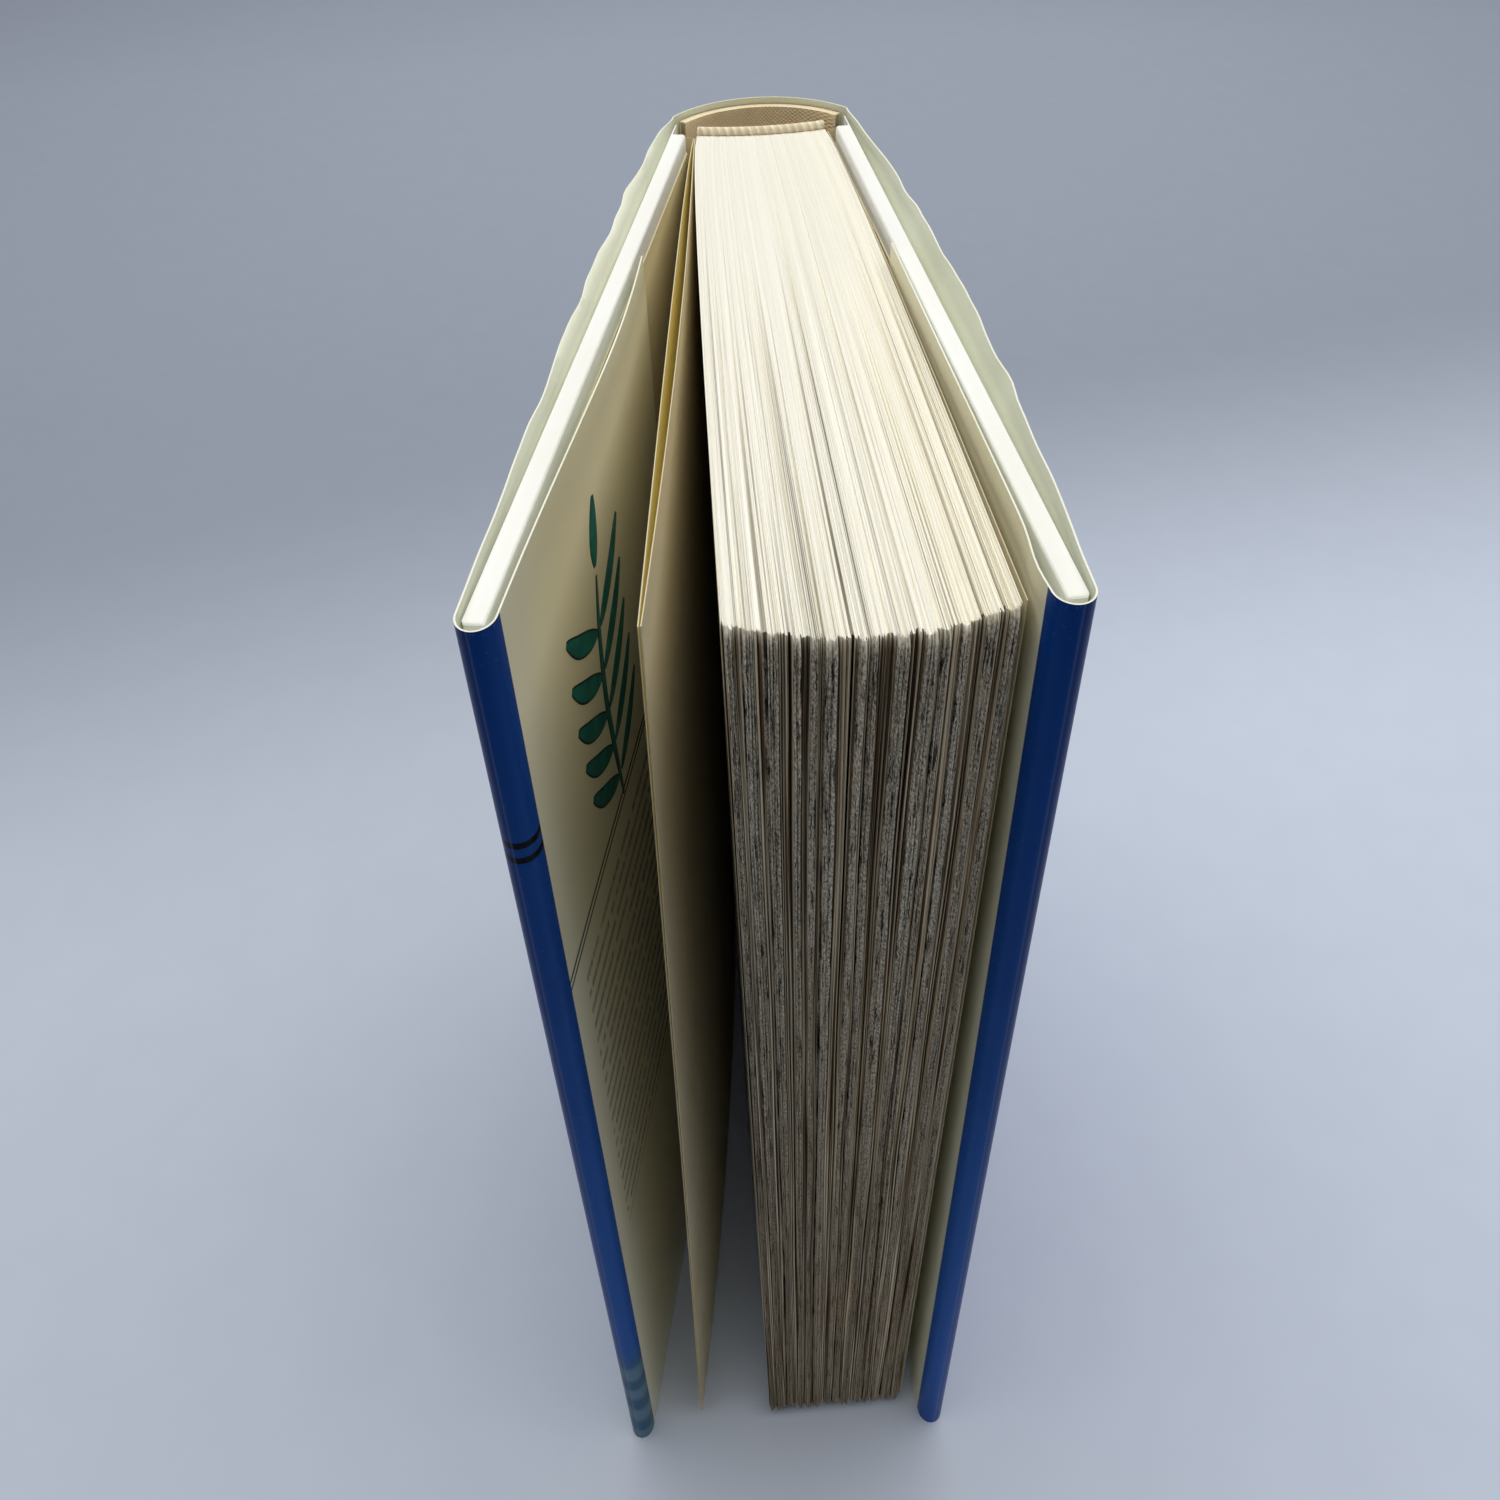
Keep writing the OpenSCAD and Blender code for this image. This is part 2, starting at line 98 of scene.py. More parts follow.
def smooth_noise(u, v, seed):
    """Smooth random values from -1 to 1 over the plane, with a lattice of one unit."""
    size = 256
    table = np.random.default_rng(seed).uniform(-1, 1, (size, size))
    u, v = np.broadcast_arrays(np.asarray(u, float), np.asarray(v, float))
    iu, iv = np.floor(u).astype(int), np.floor(v).astype(int)
    fu, fv = u - iu, v - iv
    fu, fv = fu * fu * (3 - 2 * fu), fv * fv * (3 - 2 * fv)

    def at(a, b):
        return table[a % size, b % size]

    return mix(
        mix(at(iu, iv), at(iu + 1, iv), fu),
        mix(at(iu, iv + 1), at(iu + 1, iv + 1), fu),
        fv,
    )


# Materials


def srgb(r, g, b):
    """A screen colour as the linear colour of a socket."""

    def linear(c):
        c = c / 255
        return c / 12.92 if c <= 0.04045 else ((c + 0.055) / 1.055) ** 2.4

    return (linear(r), linear(g), linear(b), 1.0)


class Shader:
    """A node material that is written as nested calls."""

    def __init__(self, name, **sockets):
        self.material = bpy.data.materials.new(name)
        self.material.use_nodes = True
        self.tree = self.material.node_tree
        self.surface = self.tree.nodes["Principled BSDF"]
        for socket, value in sockets.items():
            self.surface.inputs[socket.replace("_", " ")].default_value = value

    def put(self, socket, value):
        if isinstance(value, bpy.types.NodeSocket):
            self.tree.links.new(value, socket)
        else:
            socket.default_value = value

    def node(self, kind, inputs=(), **settings):
        made = self.tree.nodes.new("ShaderNode" + kind)
        for key, value in settings.items():
            setattr(made, key, value)
        for key, value in dict(inputs).items():
            self.put(made.inputs[key], value)
        return made

    def math(self, operation, a, b=0.0):
        return self.node("Math", {0: a, 1: b}, operation=operation).outputs[0]

    def mix(self, share, a, b, blend="MIX"):
        made = self.node("Mix", data_type="RGBA", blend_type=blend)
        for socket, value in zip((0, 6, 7), (share, a, b)):
            self.put(made.inputs[socket], value)
        return made.outputs[2]

    def times(self, share, a, b):
        return self.mix(share, a, b, "MULTIPLY")

    def own(self):
        return self.node("TexCoord").outputs["Object"]

    def attribute(self, name, output="Fac"):
        return self.node("Attribute", attribute_name=name).outputs[output]

    def split(self, vector):
        return self.node("SeparateXYZ", {0: vector}).outputs

    def scaled(self, vector, scale):
        made = self.node("VectorMath", {0: vector, 1: scale}, operation="MULTIPLY")
        return made.outputs[0]

    def noise(self, vector, scale, detail=2.0, roughness=0.5):
        inputs = {"Vector": vector, "Scale": scale, "Detail": detail, "Roughness": roughness}
        return self.node("TexNoise", inputs).outputs["Fac"]

    def range(self, value, low, high, to_low=0.0, to_high=1.0, smooth=False):
        inputs = {0: value, 1: low, 2: high, 3: to_low, 4: to_high}
        kind = "SMOOTHSTEP" if smooth else "LINEAR"
        return self.node("MapRange", inputs, interpolation_type=kind).outputs[0]

    def between(self, value, low, high, soft):
        """1 where value lies between low and high, with soft edges."""
        return self.math(
            "MULTIPLY",
            self.range(value, low - soft, low + soft),
            self.range(value, high - soft, high + soft, 1.0, 0.0),
        )

    def bump(self, height, strength, distance):
        made = self.node("Bump", {"Height": height, "Strength": strength, "Distance": distance})
        self.tree.links.new(made.outputs[0], self.surface.inputs["Normal"])

    def finish(self, colour, roughness):
        self.put(self.surface.inputs["Base Color"], colour)
        self.put(self.surface.inputs["Roughness"], roughness)
        return self.material


def paper(name, colour, toned, grain=1.0, on_sheet=False, through=0.0):
    """Uncoated paper: faint clouds of tone, fine fibres in colour and in relief."""
    s = Shader(name, Specular_IOR_Level=0.25)
    own = s.scaled(s.attribute("sheet", "Vector"), (MM, MM, MM)) if on_sheet else s.own()
    cloud = s.noise(own, 28.0, 3.0)
    fibre = s.noise(own, 1800.0, 2.0)
    tone = s.mix(s.range(cloud, 0.35, 0.7), colour, toned)
    tone = s.times(s.range(fibre, 0.3, 0.7, 0.12 * grain, 0.0), tone, toned)
    s.bump(fibre, 0.12 * grain, 0.0002)
    s.finish(tone, s.range(fibre, 0.3, 0.7, 0.85, 0.7))
    if through:
        # a share of the light goes through the sheet
        glow = s.node("BsdfTranslucent", {"Color": tone})
        both = s.node("MixShader", {0: through, 1: s.surface.outputs[0], 2: glow.outputs[0]})
        s.tree.links.new(both.outputs[0], s.tree.nodes["Material Output"].inputs["Surface"])
    return s.material


def cloth(name, colour, dark, pitch):
    """Plain weave: two sets of crossing threads."""
    s = Shader(name, Specular_IOR_Level=0.2, Sheen_Weight=0.15)
    x, y, z = s.split(s.own())[0:3]
    run = s.math("ADD", x, s.math("MULTIPLY", y, 0.6))
    across = s.math("SINE", s.math("MULTIPLY", run, math.tau / pitch))
    along = s.math("SINE", s.math("MULTIPLY", z, math.tau / pitch))
    weave = s.math("MULTIPLY", across, along)
    slub = s.noise(s.own(), 260.0, 3.0)
    tone = s.mix(s.range(weave, -1.0, 1.0), dark, colour)
    tone = s.times(s.range(slub, 0.3, 0.7, 0.35, 0.0), tone, dark)
    s.bump(weave, 0.4, 0.0002)
    return s.finish(tone, s.range(slub, 0.3, 0.7, 0.95, 0.8))


def page_edges():
    """Edges of the leaves: bright and lined at the head, brown and rough at the fore-edge, with painted
    shade in the gaps between leaves.
    """
    s = Shader("page_edges", Specular_IOR_Level=0.12)
    place = s.attribute("place", "Vector")
    fore = s.attribute("fore")
    rough = s.attribute("rough")
    # painted shade in the gaps between leaves, from the gap values of the mesh
    gap = s.math("POWER", s.attribute("gap"), 1.8)
    # head: cream leaves with thin shadow lines where they stand apart
    fine = s.noise(s.scaled(place, (6.0, 0.015, 1.0)), 1.0, 2.0, 0.6)
    broad = s.noise(s.scaled(place, (0.5, 0.01, 1.0)), 1.0, 2.0, 0.5)
    cream = s.mix(s.range(broad, 0.3, 0.7), srgb(250, 248, 239), srgb(247, 244, 230))
    cream = s.mix(s.range(fine, 0.56, 0.72, 0.0, 0.26), cream, srgb(206, 198, 168))
    # warmer towards the back cover, greyer towards the spine
    across, along = s.split(place)[0:2]
    cream = s.mix(s.range(across, 16.0, FORE_HEAD, 0.0, 0.4), cream, srgb(248, 240, 210))
    inward = s.range(along, PAGE_HEIGHT + 30.0, PAGE_HEIGHT + 130.0, 0.0, 0.6)
    cream = s.mix(inward, cream, srgb(238, 235, 222))
    # painted shade: thin dark lines between leaves, which fade towards the back cover and the spine
    thin = s.noise(s.scaled(place, (5.0, 0.008, 1.0)), 1.0, 3.0, 0.6)
    line = s.math("MULTIPLY", s.range(thin, 0.57, 0.64), s.range(across, 4.0, 30.0, 0.75, 0.4))
    line = s.math("MULTIPLY", line, s.range(along, PAGE_HEIGHT, PAGE_HEIGHT + 120.0, 1.0, 0.1))
    cream = s.mix(line, cream, srgb(128, 106, 70))
    # painted shade where the leaves part at the head
    head = s.mix(gap, cream, srgb(104, 88, 58))
    # fore-edge: torn fibres on the rough leaves with painted shade in the pits between them, smooth brown
    # edges on the others
    stray = s.math("SUBTRACT", s.noise(s.scaled(place, (0.9, 0.5, 1.0)), 1.0, 2.0), 0.5)
    bent = s.node("CombineXYZ", {0: s.math("MULTIPLY", stray, 0.45)}).outputs[0]
    bent = s.node("VectorMath", {0: place, 1: bent}, operation="ADD").outputs[0]
    tuft = s.noise(s.scaled(bent, (5.2, 1.5, 1.0)), 1.0, 4.0, 0.7)
    pit_shade = s.noise(s.scaled(bent, (4.8, 0.13, 1.0)), 1.0, 3.0, 0.6)
    torn = s.mix(s.range(tuft, 0.40, 0.56), srgb(158, 138, 108), srgb(255, 250, 234))
    torn = s.mix(s.range(pit_shade, 0.56, 0.61, 0.0, 0.9), torn, srgb(40, 31, 22))
    # painted shade: towards the tail the rough leaves turn a flat, darker brown
    torn = s.mix(s.range(along, 60.0, 190.0, 0.62, 0.0), torn, srgb(158, 133, 97))
    streak = s.noise(s.scaled(place, (3.6, 0.012, 1.0)), 1.0, 2.0, 0.6)
    cut = s.mix(s.range(streak, 0.42, 0.55), srgb(120, 96, 68), srgb(255, 242, 214))
    edge = s.mix(rough, cut, torn)
    # painted shade: the gaps between leaves on the fore-edge go nearly black
    edge = s.mix(gap, edge, srgb(14, 10, 7))
    tone = s.mix(fore, head, edge)
    height = s.math("ADD", s.math("MULTIPLY", tuft, rough), s.math("MULTIPLY", fine, 0.2))
    s.bump(height, 0.4, 0.0003)
    return s.finish(tone, 0.9)


# Radians of the winding in a metre of the band
THREAD_TURNS = 4200.0


def head_band_cloth():
    """Woven band: two colours of thread wound round a core."""
    s = Shader("band_threads", Specular_IOR_Level=0.2, Sheen_Weight=0.2)
    x, _, z = s.split(s.own())[0:3]
    slanted = s.math("ADD", x, s.math("MULTIPLY", z, 0.4))
    turn = s.math("SINE", s.math("MULTIPLY", slanted, THREAD_TURNS))
    wear = s.noise(s.own(), 400.0, 3.0)
    tone = s.mix(s.range(turn, -0.4, 0.4), srgb(240, 222, 186), srgb(254, 246, 224))
    tone = s.times(s.range(wear, 0.4, 0.7, 0.0, 0.3), tone, srgb(205, 182, 142))
    s.bump(turn, 0.5, 0.0003)
    return s.finish(tone, 0.85)


# Print on the jacket: heights, and lengths along the sheet from the hinge line, in millimetres
BLUE_END = 163.3
FOOT_FIELD = (60.0, 68.0)
COVER_RULES, COVER_RULE_WIDTH = (201.4, 204.2), 1.15
FOLD_RIDGE = (158.3, 158.5)
FLAP_RULES = ((170.5, 171.3), (168.9, 169.6))
LINE_PITCH, LINE_BODY = 4.1, (1.2, 2.6)
PRINT_HEIGHTS, PRINT_LENGTHS = (84.0, 164.2), (170.5, 246.0)


def jacket_print(name, side):
    """Printed face of the jacket: a blue field over the panel and the fold, a cream flap."""
    s = Shader(name, Specular_IOR_Level=0.06)
    sheet = s.attribute("sheet", "Vector")
    run, height = s.split(sheet)[0:2]
    cloud = s.noise(s.scaled(sheet, (0.02, 0.02, 1.0)), 1.0, 2.0)
    blue = s.mix(s.range(cloud, 0.35, 0.65), srgb(14, 84, 170), srgb(20, 94, 184))
    # the blue is deeper towards the head
    blue = s.mix(s.range(height, 90.0, 240.0, 0.0, 0.6), blue, srgb(2, 40, 120))
    # a paler field at the foot, with broad strokes, and two rules higher up: front and spine
    here = 1.0 if side == FRONT else s.range(run, -0.4, -0.2, 1.0, 0.0)
    slant = s.math("ADD", height, s.math("MULTIPLY", run, 0.12))
    sway = s.math("MULTIPLY", s.noise(s.scaled(sheet, (0.05, 0.05, 1.0)), 1.0, 1.0), 9.0)
    stroke = s.math("SINE", s.math("MULTIPLY", s.math("ADD", slant, sway), 0.55))
    foot = s.mix(s.range(stroke, -0.5, 0.7), srgb(56, 100, 132), srgb(100, 138, 158))
    edge = s.math("ADD", slant, s.math("MULTIPLY", sway, 0.6))
    blue = s.mix(s.math("MULTIPLY", s.range(edge, *FOOT_FIELD, 1.0, 0.0), here), blue, foot)
    for low in COVER_RULES:
        ruled = s.math("MULTIPLY", s.between(height, low, low + COVER_RULE_WIDTH, 0.1), here)
        blue = s.mix(ruled, blue, srgb(2, 3, 6))
    # the fold is painted as two flats: painted shade darkens the panel and the outer flat, and a pale
    # line where they meet is partly a rubbed crease, partly a painted highlight
    line = s.between(run, *FOLD_RIDGE, 0.15)
    outside = s.range(run, FOLD_RIDGE[0] - 0.1, FOLD_RIDGE[1], 0.45, 0.0)
    blue = s.times(outside, blue, srgb(90, 100, 150))
    blue = s.mix(s.math("MULTIPLY", line, 0.36), blue, srgb(110, 140, 190))
    cream_cloud = s.noise(s.scaled(sheet, (0.03, 0.03, 1.0)), 1.0, 2.0)
    cream = s.mix(s.range(cream_cloud, 0.3, 0.7), srgb(252, 249, 222), srgb(248, 243, 211))
    if side == FRONT:
        # a double rule and, below it, lines of print as broken bars
        for low, high in FLAP_RULES:
            ruled = s.between(height, low, high, 0.06)
            cream = s.mix(s.math("MULTIPLY", ruled, 0.92), cream, srgb(30, 30, 28))
        step = s.math("MODULO", height, LINE_PITCH)
        row = s.math("FLOOR", s.math("DIVIDE", height, LINE_PITCH))
        letters = s.node("CombineXYZ", {0: run, 1: s.math("MULTIPLY", row, 7.7)}).outputs[0]
        words = s.noise(s.scaled(letters, (0.35, 1.0, 1.0)), 1.0, 1.0)
        glyph = s.noise(s.scaled(letters, (2.4, 1.0, 1.0)), 1.0, 1.0)
        bar = s.math("MULTIPLY", s.between(step, *LINE_BODY, 0.25), s.range(words, 0.36, 0.40))
        bar = s.math("MULTIPLY", bar, s.range(glyph, 0.35, 0.55, 0.45, 1.0))
        bar = s.math("MULTIPLY", bar, s.between(height, *PRINT_HEIGHTS, 0.1))
        bar = s.math("MULTIPLY", bar, s.between(run, *PRINT_LENGTHS, 0.2))
        cream = s.mix(s.math("MULTIPLY", bar, 0.6), cream, srgb(60, 56, 46))
    colour = s.mix(s.range(run, BLUE_END - 0.1, BLUE_END + 0.1), blue, cream)
    # wear: pale specks at the head and foot, a few along the fold
    speck = s.noise(s.scaled(sheet, (1.1, 1.1, 1.0)), 1.0, 4.0, 0.7)
    at_head = s.range(height, JACKET_HEIGHT - 2.5, JACKET_HEIGHT - 0.2)
    near_end = s.math("MAXIMUM", at_head, s.range(height, 0.2, 2.5, 1.0, 0.0))
    near_fold = s.math("MULTIPLY", s.between(run, 156.5, 163.0, 1.5), 0.1)
    worn = s.math("MAXIMUM", near_end, near_fold)
    rub = s.math("MULTIPLY", s.range(speck, 0.60, 0.72), worn)
    colour = s.mix(s.math("MULTIPLY", rub, 0.6), colour, srgb(205, 212, 216))
    return s.finish(colour, s.range(speck, 0.35, 0.7, 0.3, 0.38))


def inked(name, colour, darker):
    """Printing ink on the flap, a little uneven."""
    s = Shader(name, Specular_IOR_Level=0.16)
    cloud = s.noise(s.scaled(s.attribute("sheet", "Vector"), (0.2, 0.2, 1.0)), 1.0, 3.0)
    tone = s.mix(s.range(cloud, 0.35, 0.65), colour, darker)
    return s.finish(tone, s.range(cloud, 0.3, 0.7, 0.3, 0.4))


def card(name, colour, dark):
    """Grey board: pressed fibres."""
    s = Shader(name, Specular_IOR_Level=0.2)
    fleck = s.noise(s.own(), 700.0, 4.0, 0.7)
    tone = s.mix(s.range(fleck, 0.35, 0.7), colour, dark)
    s.bump(fleck, 0.3, 0.0002)
    return s.finish(tone, s.range(fleck, 0.3, 0.7, 0.95, 0.85))


PAGES = page_edges()
ENDPAPER = paper("endpaper", srgb(238, 228, 190), srgb(228, 214, 166))
LEAF = paper("leaf", srgb(242, 234, 210), srgb(236, 225, 192), 1.0, True, 0.3)
# a yellower copy of the leaf paper for the faces of the two front leaves that face each other: painted
# light, for the glow of light passing through and between them
LEAF_GLOW_SIDE = paper("leaf_inside_glow", srgb(255, 247, 192), srgb(254, 243, 174), 1.0, True, 0.6)
COVERING = paper("covering", srgb(248, 249, 247), srgb(244, 244, 237), 1.2)
JACKET_INSIDE = paper("jacket_inside", srgb(240, 243, 224), srgb(230, 233, 208), 1.0, True)
JACKET_CORE = paper("jacket_core", srgb(248, 249, 238), srgb(236, 236, 214), 1.0, True)
CLOTH = cloth("spine_cloth", srgb(255, 242, 214), srgb(242, 222, 184), 0.0007)
BAND = head_band_cloth()
LINING = paper("lining", srgb(232, 226, 208), srgb(216, 208, 184), 2.0)
CARD = card("card", srgb(176, 166, 144), srgb(146, 136, 114))
PRINT = {
    FRONT: jacket_print("jacket_print_front", FRONT),
    BACK: jacket_print("jacket_print_back", BACK),
}
TEAL = inked("teal_ink", srgb(24, 134, 126), srgb(16, 110, 110))
DARK = inked("dark_ink", srgb(14, 34, 34), srgb(20, 26, 28))


# Meshes


def mesh_piece(name, points, faces, materials, slots=None, attributes=(), sharp=None):
    """An object with smooth faces, edges sharper than an angle, and values at its points."""
    mesh = bpy.data.meshes.new(name)
    mesh.from_pydata(points.tolist(), [], [tuple(f) for f in faces])
    for material in materials:
        mesh.materials.append(material)
    if slots is not None:
        mesh.polygons.foreach_set("material_index", np.asarray(slots, np.int32))
    mesh.shade_smooth()
    for key, value in dict(attributes).items():
        value = np.asarray(value, np.float32)
        kind, field = ("FLOAT", "value") if value.ndim == 1 else ("FLOAT_VECTOR", "vector")
        mesh.attributes.new(key, kind, "POINT").data.foreach_set(field, value.ravel())
    mesh.validate()
    if sharp is not None:
        mesh.set_sharp_from_angle(angle=math.radians(sharp))
    piece = bpy.data.objects.new(name, mesh)
    bpy.context.scene.collection.objects.link(piece)
    return piece


def grid_faces(index, flip=False):
    """Quads over a grid of vertex numbers."""
    a, b, c, d = index[:-1, :-1], index[1:, :-1], index[1:, 1:], index[:-1, 1:]
    quads = np.stack([a, b, c, d], -1).reshape(-1, 4)
    return quads[:, ::-1] if flip else quads


def sheet_faces(rows, cols, base):
    """Faces of a closed sheet between two grids of points: its outer face, inner face and rim."""
    top = base + np.arange(rows * cols).reshape(rows, cols)
    low = top + rows * cols
    rim = []
    for a, b in (
        (low[0], top[0]),
        (top[-1], low[-1]),
        (top[:, 0], low[:, 0]),
        (low[:, -1], top[:, -1]),
    ):
        rim.append(np.stack([a[:-1], b[:-1], b[1:], a[1:]], -1))
    return [grid_faces(top), grid_faces(low, True), np.concatenate(rim)]


def closed_sheet(name, outer, inner, materials, sheet, films=()):
    """A thin sheet with materials for its outer face, inner face and rim, and films of ink on it."""
    points, places, faces, slots = [], [], [], []
    base = 0
    for top, low, place, numbers in [(outer, inner, sheet, (0, 1, 2)), *films]:
        parts = sheet_faces(*top.shape[:2], base)
        base += 2 * top.shape[0] * top.shape[1]
        points += [top.reshape(-1, 3), low.reshape(-1, 3)]
        places += [place.reshape(-1, 3)] * 2
        faces += parts
        slots += [np.full(len(part), number) for part, number in zip(parts, numbers)]
    return mesh_piece(
        name, np.concatenate(points), np.concatenate(faces), materials, np.concatenate(slots),
        {"sheet": np.concatenate(places)}, 50,
    )


# Pages


def fore_half(k):
    """Half the thickness of the fore-edge, k of the way up."""
    return mix(FORE_TAIL, FORE_HEAD, k) / 2


def side_half(s, k):
    """Half the thickness of the pages, s millimetres in front of their back."""
    return mix(BACK_THICKNESS / 2, fore_half(k), (np.maximum(s, 0) / PAGE_DEPTH) ** SWELL)


def side_point(side, s, k, off):
    """Place in plan, off millimetres outside the side of the pages."""
    return side * (side_half(s, k) + off), -BACK_SET - s


PAGE_SEED = 11
HEAD_ROWS = 26
# Heights of the fore-edge's rows, closer together at its two ends
END_ROWS = [TAIL_SQUARE + 0.25, TAIL_SQUARE + 0.7, HEAD_Z - 0.7, HEAD_Z - 0.22]
HEIGHTS = np.sort(np.append(np.linspace(TAIL_SQUARE, HEAD_Z, 111), END_ROWS))
FORE_ROWS = len(HEIGHTS) - 1
# The grid's rows run over the tail, the fore-edge and the head; a corner has a row for each face
TAIL_CORNER, HEAD_CORNER = HEAD_ROWS, HEAD_ROWS + FORE_ROWS + 2


def leaf_columns(rng):
    """Ridges and gaps across the pages: place, gathering, gap depth, gap at the head, lift, roughness."""
    columns = []
    widths = rng.uniform(0.7, 1.3, GATHERINGS)
    edges = np.concatenate([[0], np.cumsum(widths) / widths.sum()])
    for g in range(GATHERINGS):
        leaves = int(rng.integers(6, 9))
        marks = np.linspace(0.03, 0.985, leaves + 1)
        marks[1:-1] += rng.uniform(-0.28, 0.28, leaves - 1) / leaves
        first, share = rng.uniform(0.0, 0.3), rng.uniform(0.36, 0.52)
        for i in range(leaves):
            rough = first <= (marks[i] + marks[i + 1]) / 2 < first + share
            gap = rng.uniform(0.08, 0.4) if rough else rng.uniform(0.25, 0.9)
            head_gap = rng.uniform(0.0, 0.3) if rng.random() < 0.72 else rng.uniform(0.3, 0.8)
            wide = rng.uniform(0.03, 0.055)
            if i == 0:
                gap, head_gap = GATHERING_GROOVE * rng.uniform(0.7, 1.5), rng.uniform(0.2, 1.2)
                wide = rng.uniform(0.05, 0.12)
            lift = rng.normal(0, 0.07)
            start, step = marks[i] + wide, marks[i + 1] - marks[i] - wide
            columns.append((marks[i], g, gap, head_gap, lift, rough))
            columns.append((start, g, gap, head_gap, lift, rough))
            columns.append((start + 0.2 * step, g, 0.0, 0.0, lift, rough))
            columns.append((start + 0.82 * step, g, 0.0, 0.0, lift + rng.normal(0, 0.03), rough))
    columns = np.array(columns)
    inside = columns[:, 0]
    g = columns[:, 1].astype(int)
    across = mix(edges[g], edges[g + 1], inside)
    across[0], across[-1] = 0.0, 1.0
    return across, g, columns[:, 2], columns[:, 3], columns[:, 4], columns[:, 5]


def page_sides(index, depths, t):
    """Faces of the two sides and the back of the pages, with the points that the sides add."""
    faces, extra, extra_place = [], [], []
    for side, col in ((FRONT, 0), (BACK, len(t) - 1)):
        # a grid whose rim is the first or the last column
        ids = np.zeros((HEAD_ROWS + 1, FORE_ROWS + 1), int)
        ids[:, 0] = index[: TAIL_CORNER + 1, col]
        ids[:, -1] = index[HEAD_CORNER:, col][::-1]
        ids[-1, :] = index[TAIL_CORNER + 1 : HEAD_CORNER, col]
        for i in range(HEAD_ROWS):
            for j in range(1, FORE_ROWS):
                k = (HEIGHTS[j] - TAIL_SQUARE) / PAGE_HEIGHT
                x, y = side_point(side, depths[i] * PAGE_DEPTH, k, 0.0)
                ids[i, j] = index.size + len(extra)
                extra.append((x, y, HEIGHTS[j]))
                extra_place.append((t[col] * FORE_HEAD, HEIGHTS[j], 0))
        faces.append(grid_faces(ids, side == BACK))
        # two fans join its back edge to the next column, at the tail and at the head
        rim = ids[0]
        low, high = index[0, col - side], index[-1, col - side]
        half = FORE_ROWS // 2
        fans = [(rim[j], rim[j + 1], low) for j in range(half)]
        fans.append((rim[half], high, low))
        fans += [(rim[j], rim[j + 1], high) for j in range(half, FORE_ROWS)]
        faces.append(np.array([f if side == FRONT else f[::-1] for f in fans]))
    faces.append(np.array([
        (index[0, i], index[0, i + 1], index[-1, i + 1], index[-1, i])
        for i in range(1, len(t) - 2)
    ]))
    return faces, np.array(extra), np.array(extra_place)


